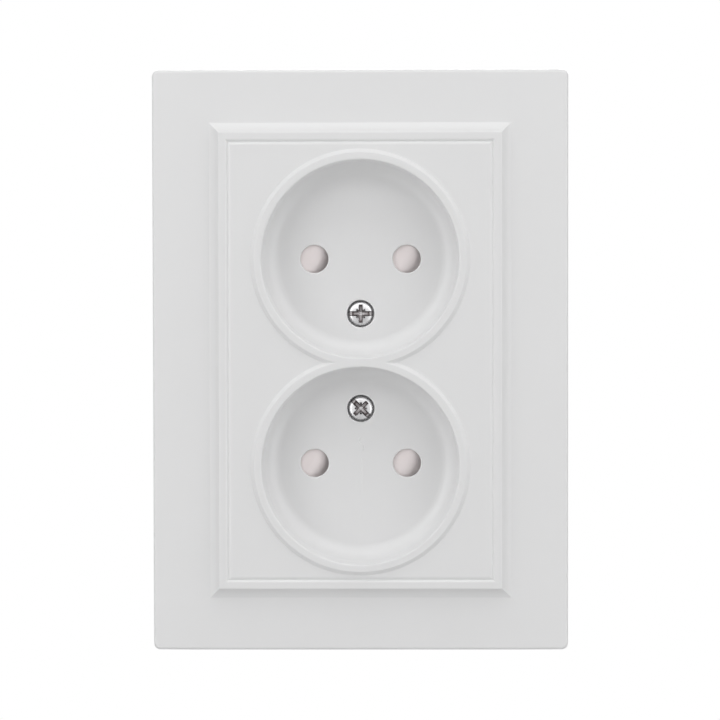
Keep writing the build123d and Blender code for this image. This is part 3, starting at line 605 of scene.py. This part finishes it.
@dataclass
class Screw:
    """A screw along the wall's normal: a head with its drive, and a threaded shank.

    The head's top is a height over the disc, h(r, a), and the thread is a radius over the shank, r(t, a). Its place
    and length are the solid's.
    """

    node: str
    head_dia: float
    head_height: float
    edge: float
    shank_dia: float
    pitch: float
    out: int = 1
    drive: Drive = Drive.SLOT
    turn: float = 0.0
    dome: float = 0.12
    slot: SlotCut = SlotCut()
    cross: CrossCut = CrossCut()
    pair: bool = False
    least_height: float = 0.12
    head_steps: int = 192
    dome_share: float = 0.8
    dome_rows: int = 56
    edge_rows: int = 22
    side_rows: int = 4
    shank_steps: int = 64
    thread_rows: int = 8
    least_rows: int = 16
    thread_depth: float = 0.42
    flank: tuple[float, float] = (0.1, 0.9)
    tip_taper: float = 0.3
    tip_long: float = 0.6
    sink: float = 0.05
    # a little painted shade over the whole shank
    thread_shade: float = 0.1

    def cuts(self, r: np.ndarray, a: np.ndarray) -> tuple[np.ndarray, np.ndarray]:
        """Depth of the drive below the head's top, and how much painted shade it gets.

        Args:
            r: distances from the middle.
            a: angles.

        Returns:
            Depths, and painted shade values from 0 to 1.
        """
        u = r * np.cos(a - math.radians(self.turn))
        v = r * np.sin(a - math.radians(self.turn))
        depth, dark = self.slot.cut(v)
        if self.drive is Drive.SLOT_AND_CROSS:
            cross_depth, cross_dark = self.cross.cut(u, v)
            depth = np.maximum(depth, cross_depth)
            # less painted shade in the middle of the cross, a painted highlight
            dark = np.maximum(dark, cross_dark) * self.cross.left(r)
        return depth, dark

    def top(self, r: np.ndarray, a: np.ndarray) -> tuple[np.ndarray, np.ndarray]:
        """Height of the head's top above its seat: a low dome with a quarter-round edge, less the drive.

        Args:
            r: distances from the middle.
            a: angles.

        Returns:
            Heights and painted shade values.
        """
        whole = self.head_dia / 2.0
        past = np.clip((r - whole + self.edge) / self.edge, 0.0, 1.0)
        crown = self.head_height - self.dome * (r / whole) ** 2
        crown = crown - (self.edge - self.dome) * (1.0 - np.sqrt(1.0 - past**2))
        depth, dark = self.cuts(r, a)
        return np.maximum(crown - depth, self.least_height * self.head_height), dark

    def head(self, skin: Skin, centre: tuple[float, float], seat: float) -> None:
        """Add the head's top, side and underside.

        Args:
            skin: the mesh in the making.
            centre: the screw's line, as (x, z).
            seat: the level under the head.
        """
        a, whole = circle(self.head_steps), self.head_dia / 2.0
        inner = np.linspace(0.0, self.dome_share, self.dome_rows)
        outer = np.linspace(self.dome_share, 1.0, self.edge_rows)[1:]
        r = whole * np.concatenate([inner, outer])[:, None]
        height, dark = self.top(r, a)
        skin.rings(centre, r, seat + self.out * height, a, dark)
        height, dark = self.top(np.full((1, 1), whole), a)
        side = np.linspace(1.0, 0.0, self.side_rows)[:, None]
        skin.rings(centre, whole, seat + self.out * height * side, a, dark)
        skin.rings(centre, np.array([[whole], [0.0]]), seat, a)

    def thread(self, skin: Skin, centre: tuple[float, float], seat: float, tip: float) -> None:
        """Add the shank: a radius with a thread that fades in and out, tapered at the tip and capped at both ends.

        Args:
            skin: the mesh in the making.
            centre: the screw's line, as (x, z).
            seat: the level under the head.
            tip: the level of the shank's end.
        """
        a, long = circle(self.shank_steps), abs(seat - tip)
        rows = max(int(long / self.pitch * self.thread_rows), self.least_rows)
        t = np.linspace(0.0, long, rows)[:, None]
        wave = np.abs(2.0 * np.mod(t / self.pitch - a / (2.0 * np.pi), 1.0) - 1.0)
        fade = smooth(t, 0.0, self.pitch) * (1.0 - smooth(t, long - self.pitch, long))
        radius = self.shank_dia / 2.0 - self.thread_depth * self.pitch * fade * smooth(wave, *self.flank)
        radius = radius * (1.0 - self.tip_taper * smooth(t, long - self.tip_long, long))
        radius = np.vstack([np.zeros_like(a), radius, np.zeros_like(a)])
        t = np.vstack([[[-self.sink]], t, [[long]]])
        # the whole shank carries a little painted shade
        skin.rings(centre, radius, seat - self.out * t, a, self.thread_shade)

    def build(self) -> bpy.types.Object:
        """Make the screw, or the pair, and let it stand for its solid."""
        low, high = corners(self.node)
        near, far = -low[1], -high[1]
        seat, tip = (near - self.head_height, far) if self.out > 0 else (far + self.head_height, near)
        x = (low[0] + high[0]) / 2.0
        r = self.head_dia / 2.0
        spots = (high[2] - r, low[2] + r) if self.pair else ((low[2] + high[2]) / 2.0,)
        skin = Skin()
        for z in spots:
            self.head(skin, (x, z), seat)
            self.thread(skin, (x, z), seat, tip)
        made = skin.piece(f"{self.node}_fine", ZINC, "plated_screw")
        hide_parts(self.node)
        return made


@dataclass
class CoilSpring:
    """An open coil of round wire along X, with its end turns closed."""

    node: str
    joint: str
    travel: float
    wire: float
    turns: float = 7.5
    closed: float = 1.0
    steps: int = 40
    sides: int = 12

    def build(self) -> bpy.types.Object:
        """Carry a circle along a helix: x goes with the turn, slowly at both ends, and the ends are capped.

        Returns:
            The spring.
        """
        low, high = corners(self.node)
        y, z = (low[1] + high[1]) / 2.0, (low[2] + high[2]) / 2.0
        coil = (high[2] - low[2]) / 2.0 - self.wire / 2.0
        start, long = low[0] + self.wire / 2.0, high[0] - low[0] - self.wire
        turn = np.linspace(0.0, self.turns, int(self.turns * self.steps))[:, None]
        end = self.closed * self.wire
        knots = [0.0, self.closed, self.turns - self.closed, self.turns]
        x = start + np.interp(turn, knots, [0.0, end, long - end, long])
        spin = 2.0 * np.pi * turn
        a = circle(self.sides)
        thick = np.full_like(turn, self.wire / 2.0)
        thick[[0, -1]] = 0.0
        reach = coil + thick * np.cos(a)
        skin = Skin()
        skin.grid(x + thick * np.sin(a), -y + reach * np.cos(spin), z + reach * np.sin(spin), around=True)
        made = skin.piece(f"{self.node}_fine", SPRING, "spring_steel")
        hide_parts(self.node)
        rest = high[0] - low[0]
        anchor = (low[0] * MM, y * MM, z * MM)
        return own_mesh(made, self.joint, (1.0, 0.0, 0.0), anchor, (rest - self.travel) / rest)


@dataclass
class RaisedSign:
    """A wave sign over a thin bar, raised a hair above the floor of the lower well."""

    floor: float = 3.3
    middle: tuple[float, float] = (0.1, -21.5)
    bar: float = 8.0
    bar_drop: float = 2.4
    wave: float = 3.0
    wave_rise: float = 4.4
    swing: float = 0.55
    width: float = 0.17
    height: float = 0.07
    sink: float = 0.03
    taper: float = 0.06
    columns: int = 9
    rows: int = 60

    def ridge(self, skin: Skin, x: np.ndarray, z: np.ndarray) -> None:
        """Add a rounded ridge along a path: level = floor + h (1 - v^2) across it, tapered at both ends.

        Args:
            skin: the mesh in the making.
            x: the path's places to the right.
            z: the path's places upwards.
        """
        across = np.linspace(-1.0, 1.0, self.columns)[None, :]
        dx, dz = np.gradient(x), np.gradient(z)
        size = np.hypot(dx, dz)
        px = x[:, None] + self.width * across * (dz / size)[:, None]
        pz = z[:, None] - self.width * across * (dx / size)[:, None]
        share = np.linspace(0.0, 1.0, len(x))[:, None]
        ends = smooth(share, 0.0, self.taper) * (1.0 - smooth(share, 1.0 - self.taper, 1.0))
        base = self.floor - self.sink
        skin.grid(px, base + (self.height + self.sink) * (1.0 - across**2) * ends, pz)
        skin.grid(px, base, pz)

    def build(self) -> bpy.types.Object:
        """Make the bar and the wave: x = swing sin(2 pi s), z = s times its length."""
        skin = Skin()
        x, z = self.middle
        s = np.linspace(0.0, 1.0, self.rows)
        self.ridge(skin, np.full_like(s, x), z - self.bar_drop + self.bar * (s - 0.5))
        self.ridge(skin, x + self.swing * np.sin(2.0 * np.pi * s), z + self.wave_rise + self.wave * (s - 0.5))
        return skin.piece("raised_sign", WHITE, "white_plastic")


@dataclass(frozen=True)
class Rim:
    """The rounded rim of a well: a quarter of a torus about the well's line."""

    middle: float
    radius: float = 20.0
    bend: float = 0.4
    top: float = 12.7
    close: float = 0.01

    def trued(self, points: np.ndarray, faces: np.ndarray, normals: np.ndarray) -> np.ndarray:
        """Give the rim the torus's own normals: from the ring in the middle of the round to the point.

        Args:
            points: the moulding's points in millimetres.
            faces: its triangles.
            normals: the normal of each triangle's corners.

        Returns:
            The normals, those of the rim replaced.
        """
        away = (points - (0.0, 0.0, self.middle)) * (1.0, 0.0, 1.0)
        r = np.linalg.norm(away, axis=1)
        out = r - self.radius - self.bend
        rise = -points[:, 1] - self.top + self.bend
        rim = (np.abs(np.hypot(out, rise) - self.bend) < self.close) & (out < self.close) & (rise > -self.close)
        true = away / np.maximum(r, self.radius)[:, None] * out[:, None] - rise[:, None] * (0.0, 1.0, 0.0)
        true /= np.maximum(np.linalg.norm(true, axis=1, keepdims=True), self.close)
        return np.where(rim[faces][..., None], true[faces], normals)


@dataclass
class SoftEdge:
    """A moulding whose edge along the seam rolls off more softly than in its solid.

    The cover lies inside its edge and has side -1; the frame lies outside and has side 1.
    """

    node: str
    side: int
    face: float
    gap: float
    solid_round: float
    width: float
    drop: float
    rims: tuple[Rim, ...] = ()
    close: float = 0.004

    def build(self) -> bpy.types.Object:
        """Copy the solid and move the points of its rounded edge.

        The share t of a point goes from 0 at the face to 1 at the wall: its angle on the round over a quarter turn.
        It moves to width (1 - t) from the wall and to the level face - drop t^2, and its normal leans outwards by
        the slope there, atan(2 drop t / width).

        Returns:
            The moulding.
        """
        points, faces, normals = welded(self.node)
        low, high = corners("socket_cover")
        middle, half = (low + high) / 2.0, (high - low) / 2.0 + self.gap
        past = np.abs(points - middle) - half
        past[:, 1] = -np.inf
        reach = past.max(1)
        wall, rise = self.side * reach, -points[:, 1] - self.face + self.solid_round
        near = (rise > -self.close) & (np.abs(wall - self.solid_round / 2.0) < self.solid_round / 2.0 + self.close)
        share = np.clip(np.arctan2(self.solid_round - wall, rise) / (math.pi / 2.0), 0.0, 1.0)
        moved = middle + np.sign(points - middle) * (half + self.side * self.width * (1.0 - share)[:, None])
        points = np.where(near[:, None] & (past > reach[:, None] - self.close), moved, points)
        points[near, 1] = self.drop * share[near] ** 2 - self.face
        lean = np.arctan(2.0 * self.drop * share / self.width)[faces][..., None]
        flat = normals * (1.0, 0.0, 1.0)
        size = np.linalg.norm(flat, axis=-1, keepdims=True)
        leaning = flat / np.maximum(size, self.close) * np.sin(lean) - np.cos(lean) * (0.0, 1.0, 0.0)
        normals = np.where(near[faces][..., None] & (size > self.close), leaning, normals)
        for rim in self.rims:
            normals = rim.trued(points, faces, normals)
        return recast(self.node, points, faces, normals, WHITE)


@dataclass
class SeamLip:
    """The ledge in the frame's mouth that closes the seam round the cover, a little below both."""

    drop: float = 0.36
    inside: float = 0.12
    outside: float = 0.12
    dip: float = 0.01
    thick: float = 0.25
    columns: int = 9
    stations: tuple[float, ...] = (0.0, 0.01, 0.5, 0.99)

    def build(self) -> bpy.types.Object:
        """Carry a closed profile round the cover's outline, with mitred corners.

        Across the ledge, v goes from -1 to 1 and the level is top - dip (1 - v^2). Along it, each side is a straight
        line between two corners, with points close to them so that the shading doesn't bend.

        Returns:
            The ledge.
        """
        low, high = corners("socket_cover")
        wide, tall = (high[0] - low[0]) / 2.0, (high[2] - low[2]) / 2.0
        top = -corners("outer_frame")[0][1] - self.drop
        v = np.linspace(-1.0, 1.0, self.columns)
        u = (self.outside - self.inside) / 2.0 + v * (self.outside + self.inside) / 2.0
        out = np.concatenate([u, u[[-1, 0, 0]]])[:, None]
        rise = np.concatenate([top - self.dip * (1.0 - v**2), [top - self.thick] * 2, [top]])[:, None]
        turn = np.array([[1.0, 1.0], [-1.0, 1.0], [-1.0, -1.0], [1.0, -1.0]])[:, None, :]
        share = np.array(self.stations)[None, :, None]
        path = (turn + (np.roll(turn, -1, 0) - turn) * share).reshape(-1, 2)
        skin = Skin()
        x = (low[0] + high[0]) / 2.0 + path[:, 0] * (wide + out)
        z = (low[2] + high[2]) / 2.0 + path[:, 1] * (tall + out)
        skin.grid(x, rise, z, around=True)
        return skin.piece("seam_lip", WHITE, "white_plastic")


@dataclass
class Faceplate:
    """What is seen from the room: the frame, the cover, its two screws and a raised sign."""

    well_half: float = WELL_HALF
    frame_face: float = 12.05
    cover_face: float = 12.0
    gap: float = 0.04
    frame_round: float = 0.15
    cover_round: float = 0.3
    frame_edge: tuple[float, float] = (0.55, 0.34)
    cover_edge: tuple[float, float] = (0.7, 0.33)
    head_dia: float = 4.9
    head_height: float = 2.0
    head_edge: float = 0.55
    head_dome: float = 0.3
    screw_dia: float = 3.0
    pitch: float = 0.5
    slot_width: float = 0.95
    slot_depth: float = 0.45
    turns: tuple[float, float] = (0.0, -45.0)

    def build(self) -> list[bpy.types.Object]:
        """Make the mouldings with their soft edges, the screws, the ledge that closes the seam and the sign."""
        rims = tuple(Rim(row.value * self.well_half) for row in Row)
        made = [
            SoftEdge("outer_frame", 1, self.frame_face, self.gap, self.frame_round, *self.frame_edge).build(),
            SoftEdge("socket_cover", -1, self.cover_face, 0.0, self.cover_round, *self.cover_edge, rims=rims).build(),
        ]
        for node, turn in zip(both("cover_screw", Row), self.turns):
            screw = Screw(
                node, self.head_dia, self.head_height, self.head_edge, self.screw_dia, self.pitch,
                drive=Drive.SLOT_AND_CROSS, turn=turn, dome=self.head_dome,
                slot=SlotCut(self.slot_width, self.slot_depth),
            )
            made.append(screw.build())
        made += [SeamLip().build(), RaisedSign().build()]
        return made


@dataclass
class ShutterGear:
    """The two sliding shutters and the springs that close them."""

    plate: float = 0.7
    pin_half: float = 9.5
    well_half: float = WELL_HALF
    nose_top: float = 2.4
    fall: float = 0.18
    fall_start: float = -0.8
    fall_power: float = 1.7
    fall_angle: float = -28.0
    travel: float = 5.9
    wire: float = 0.35
    close: float = 0.005
    facing: float = 0.4

    def shutter(self, node: str) -> bpy.types.Object:
        """Copy a shutter with its noses cut as ramps that reach nearer to the floor of the well.

        With g the distance from the pin's line along the fall, past the start s, the level above the plate becomes
        nose_top - fall (g - s)^power, and flat before the start. The normals lean by that slope.

        Args:
            node: the shutter's solid, whose body has the same name.

        Returns:
            The shutter.
        """
        points, faces, normals = welded(node)
        nose = -points[:, 1] > self.plate + self.close
        turn = math.radians(self.fall_angle)
        ahead = np.array([math.cos(turn), 0.0, math.sin(turn)])
        g = (points - np.sign(points) * (self.pin_half, 0.0, self.well_half)) @ ahead
        past = np.maximum(g - self.fall_start, 0.0)
        points[nose, 1] = (self.fall * past**self.fall_power - self.nose_top)[nose]
        slope = self.fall * self.fall_power * past ** (self.fall_power - 1.0)
        lean = slope[faces][..., None] * ahead - (0.0, 1.0, 0.0)
        lean /= np.linalg.norm(lean, axis=-1, keepdims=True)
        upper = nose[faces][..., None] & (normals[..., 1:2] < -self.facing)
        return recast(node, points, faces, np.where(upper, lean, normals), SHUTTER, node)

    def build(self) -> list[bpy.types.Object]:
        """Make the shutters and the springs."""
        made = [self.shutter(node) for node in both("shutter", Row)]
        for node, shutter in zip(both("shutter_spring", Row), both("shutter", Row)):
            made.append(CoilSpring(node, f"{shutter}_slide", self.travel, self.wire).build())
        return made


@dataclass
class Block:
    """The insulating block in the wall box, with its contacts, terminals and screws."""

    terminal_head: float = 7.2
    terminal_height: float = 2.4
    terminal_edge: float = 0.4
    terminal_dia: float = 4.0
    terminal_pitch: float = 0.7
    terminal_turn: float = 90.0
    terminal_slot: tuple[float, float] = (1.1, 1.2)
    rear_head: float = 5.4
    rear_height: float = 1.8
    rear_edge: float = 0.45
    rear_dia: float = 2.9
    rear_pitch: float = 0.9

    def build(self) -> list[bpy.types.Object]:
        """Dress the mouldings and the metal, and make the screws at the back."""
        clips = [name for row in Row for name in both(f"contact_clip_{row.name.lower()}", Side)]
        made = dress(BASE, "base_housing", "shutter_carrier", "rear_plate")
        made += dress(BRASS, *both("contact_strip", Side), *both("terminal_plate", Side), *both("threaded_bush", Row))
        made += dress(SPRING, *clips)
        for node in both("terminal_screw", Side):
            screw = Screw(
                node, self.terminal_head, self.terminal_height, self.terminal_edge, self.terminal_dia,
                self.terminal_pitch, out=-1, turn=self.terminal_turn, slot=SlotCut(*self.terminal_slot),
            )
            made.append(screw.build())
        screws = Screw(
            "rear_plate_screws", self.rear_head, self.rear_height, self.rear_edge, self.rear_dia, self.rear_pitch,
            out=-1, pair=True,
        )
        made.append(screws.build())
        return made


@dataclass
class StrapSet:
    """The steel strap behind the cover, its rivets and the two spreading claws."""

    claw_head: float = 5.4
    claw_height: float = 1.7
    claw_edge: float = 0.56
    claw_dia: float = 3.0
    claw_pitch: float = 0.5

    def build(self) -> list[bpy.types.Object]:
        """Dress the sheet metal and make the claw screws."""
        made = dress(SHEET, "mounting_strap", "strap_rivets", *both("claw", Side), *both("claw_pin", Side))
        for node in both("claw_screw", Side):
            screw = Screw(node, self.claw_head, self.claw_height, self.claw_edge, self.claw_dia, self.claw_pitch)
            made.append(screw.build())
        return made


@dataclass(frozen=True)
class Panel:
    """A soft light panel that faces the object: where it hangs and its size in metres, and its power in watts."""

    name: str
    place: tuple[float, float, float]
    size: tuple[float, float]
    power: float

    def build(self) -> None:
        """Hang the lamp."""
        lamp = bpy.data.lights.new(self.name, "AREA")
        lamp.shape = "RECTANGLE"
        lamp.size, lamp.size_y = self.size
        lamp.energy = self.power
        made = bpy.data.objects.new(self.name, lamp)
        made.location = self.place
        made.rotation_euler = (-Vector(self.place)).to_track_quat("-Z", "Y").to_euler()
        bpy.context.scene.collection.objects.link(made)


PANELS = (
    Panel("left_panel", (-0.5, -0.22, 0.05), (0.3, 0.7), 0.355),
    Panel("right_panel", (0.5, -0.22, 0.05), (0.3, 0.7), 0.55),
    Panel("left_front_panel", (-0.42, -0.5, 0.05), (0.3, 0.7), 1.12),
    Panel("right_front_panel", (0.42, -0.5, 0.05), (0.3, 0.7), 0.79),
    Panel("top_panel", (0.0, -0.25, 0.55), (0.8, 0.35), 1.11),
    Panel("front_panel", (0.0, -0.85, 0.42), (0.7, 0.4), 1.15),
    Panel("back_panel", (0.15, 0.75, 0.4), (0.7, 0.5), 3.6),
)


@dataclass
class Studio:
    """Floor, soft lights, white background, a dark card and the camera."""

    aim: tuple[float, float, float] = (-0.12, -6.0, 0.31)
    azimuth: float = 0.73
    elevation: float = 1.8
    roll: float = -0.1
    distance: float = 590.0
    lens: float = 144.1
    sensor: float = 36.0
    clip: tuple[float, float] = (10.0, 50000.0)
    floor: float = -350.0
    floor_half: float = 6000.0
    floor_points: int = 5
    floor_grey: float = 0.6
    glow_scale: float = 0.5
    glow_stops: tuple[tuple[float, float], ...] = ((0.25, 0.6), (0.75, 1.0))
    sky_rise: float = 0.47
    card_size: tuple[float, float, float] = (120.0, 170.0, 780.0)
    card_grey: float = 0.03

    def background(self) -> None:
        """White for the eye and for mirrors; for other rays a pale sky that is brighter above: rise * z."""
        world = bpy.data.worlds.new("studio")
        bpy.context.scene.world = world
        world.use_nodes = True
        graph = Graph(world.node_tree)
        up = graph.add("ShaderNodeSeparateXYZ", None, {0: graph.add("ShaderNodeTexCoord", output="Generated")}, "Z")
        seen = self.seen(graph)
        sky = graph.add("ShaderNodeMath", {"operation": "MAXIMUM"}, {0: self.sky_rise * up, 1: 0.0})
        strength = seen + (1.0 - seen) * sky
        light = graph.add("ShaderNodeBackground", None, {"Color": PURE_WHITE, "Strength": strength})
        graph.add("ShaderNodeOutputWorld", None, {"Surface": light})

    def seen(self, graph: Graph) -> Signal:
        """1 for rays from the eye, off a mirror or through glass."""
        camera = graph.add("ShaderNodeLightPath", output="Is Camera Ray")
        glossy = graph.add("ShaderNodeLightPath", output="Is Glossy Ray")
        through = graph.add("ShaderNodeLightPath", output="Is Transmission Ray")
        total = camera + glossy + through
        return graph.add("ShaderNodeMath", {"operation": "MINIMUM"}, {0: total, 1: 1.0})

    def ground(self) -> None:
        """A plain pale floor some way below the object: a flat grid that glows white far off."""
        mesh = bpy.data.meshes.new("floor")
        side = np.linspace(-self.floor_half, self.floor_half, self.floor_points) * MM
        x, y = np.meshgrid(side, side)
        points = np.stack([x, y, np.full_like(x, self.floor * MM)], -1).reshape(-1, 3)
        ids = np.arange(x.size).reshape(x.shape)
        quads = np.stack([ids[:-1, :-1], ids[:-1, 1:], ids[1:, 1:], ids[1:, :-1]], -1).reshape(-1, 4)
        mesh.from_pydata(points, [], quads.tolist())
        made, graph = blank("pale_floor")
        grey = (self.floor_grey, self.floor_grey, self.floor_grey, 1.0)
        paint = graph.add("ShaderNodeBsdfDiffuse", None, {"Color": grey})
        glow = graph.add("ShaderNodeEmission", None, {"Color": PURE_WHITE, "Strength": 1.0})
        far = graph.add("ShaderNodeVectorMath", {"operation": "LENGTH"}, {0: graph.place((1.0, 1.0, 0.0))}, "Value")
        away = graph.ramp(far * self.glow_scale, *self.glow_stops)
        mixed = graph.add("ShaderNodeMixShader", None, {0: self.seen(graph) * away, 1: paint, 2: glow})
        graph.add("ShaderNodeOutputMaterial", None, {"Surface": mixed})
        mesh.materials.append(made)
        floor = bpy.data.objects.new("floor", mesh)
        bpy.context.scene.collection.objects.link(floor)

    def camera(self) -> None:
        """A long lens in front of the wall, a little above the middle."""
        data = bpy.data.cameras.new("camera")
        data.lens = self.lens
        data.sensor_width = self.sensor
        data.clip_start, data.clip_end = (reach * MM for reach in self.clip)
        made = bpy.data.objects.new("camera", data)
        a, e = math.radians(self.azimuth), math.radians(self.elevation)
        back = Vector((math.sin(a) * math.cos(e), -math.cos(a) * math.cos(e), math.sin(e)))
        turn = back.to_track_quat("Z", "Y").to_matrix() @ Matrix.Rotation(math.radians(self.roll), 3, "Z")
        made.matrix_world = Matrix.Translation((Vector(self.aim) + back * self.distance) * MM) @ turn.to_4x4()
        bpy.context.scene.collection.objects.link(made)
        bpy.context.scene.camera = made

    def card(self) -> None:
        """A dark card behind the camera, as a lens and its holder are: a rectangle that faces the object."""
        mesh = bpy.data.meshes.new("dark_card")
        wide, tall, back = (v * MM for v in self.card_size)
        points = [(-wide, -back, -tall), (wide, -back, -tall), (wide, -back, tall), (-wide, -back, tall)]
        mesh.from_pydata(points, [], [(0, 1, 2, 3)])
        made, graph = blank("card_black")
        grey = (self.card_grey, self.card_grey, self.card_grey, 1.0)
        paint = graph.add("ShaderNodeBsdfDiffuse", None, {"Color": grey})
        graph.add("ShaderNodeOutputMaterial", None, {"Surface": paint})
        mesh.materials.append(made)
        card = bpy.data.objects.new("dark_card", mesh)
        card.visible_camera = False
        bpy.context.scene.collection.objects.link(card)

    def build(self) -> None:
        """Set up the whole studio."""
        bpy.context.scene.view_settings.view_transform = "Standard"
        self.background()
        self.ground()
        self.card()
        for panel in PANELS:
            panel.build()
        self.camera()


def main() -> None:
    """Build the sub-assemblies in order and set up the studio."""
    logging.basicConfig(level=logging.INFO, format="%(name)s %(message)s")
    for group in (Faceplate(), ShutterGear(), Block(), StrapSet()):
        for piece in group.build():
            log.info("%s: %s, %d faces", type(group).__name__, piece.name, len(piece.data.polygons))
    Studio().build()


if __name__ == "__main__":
    main()
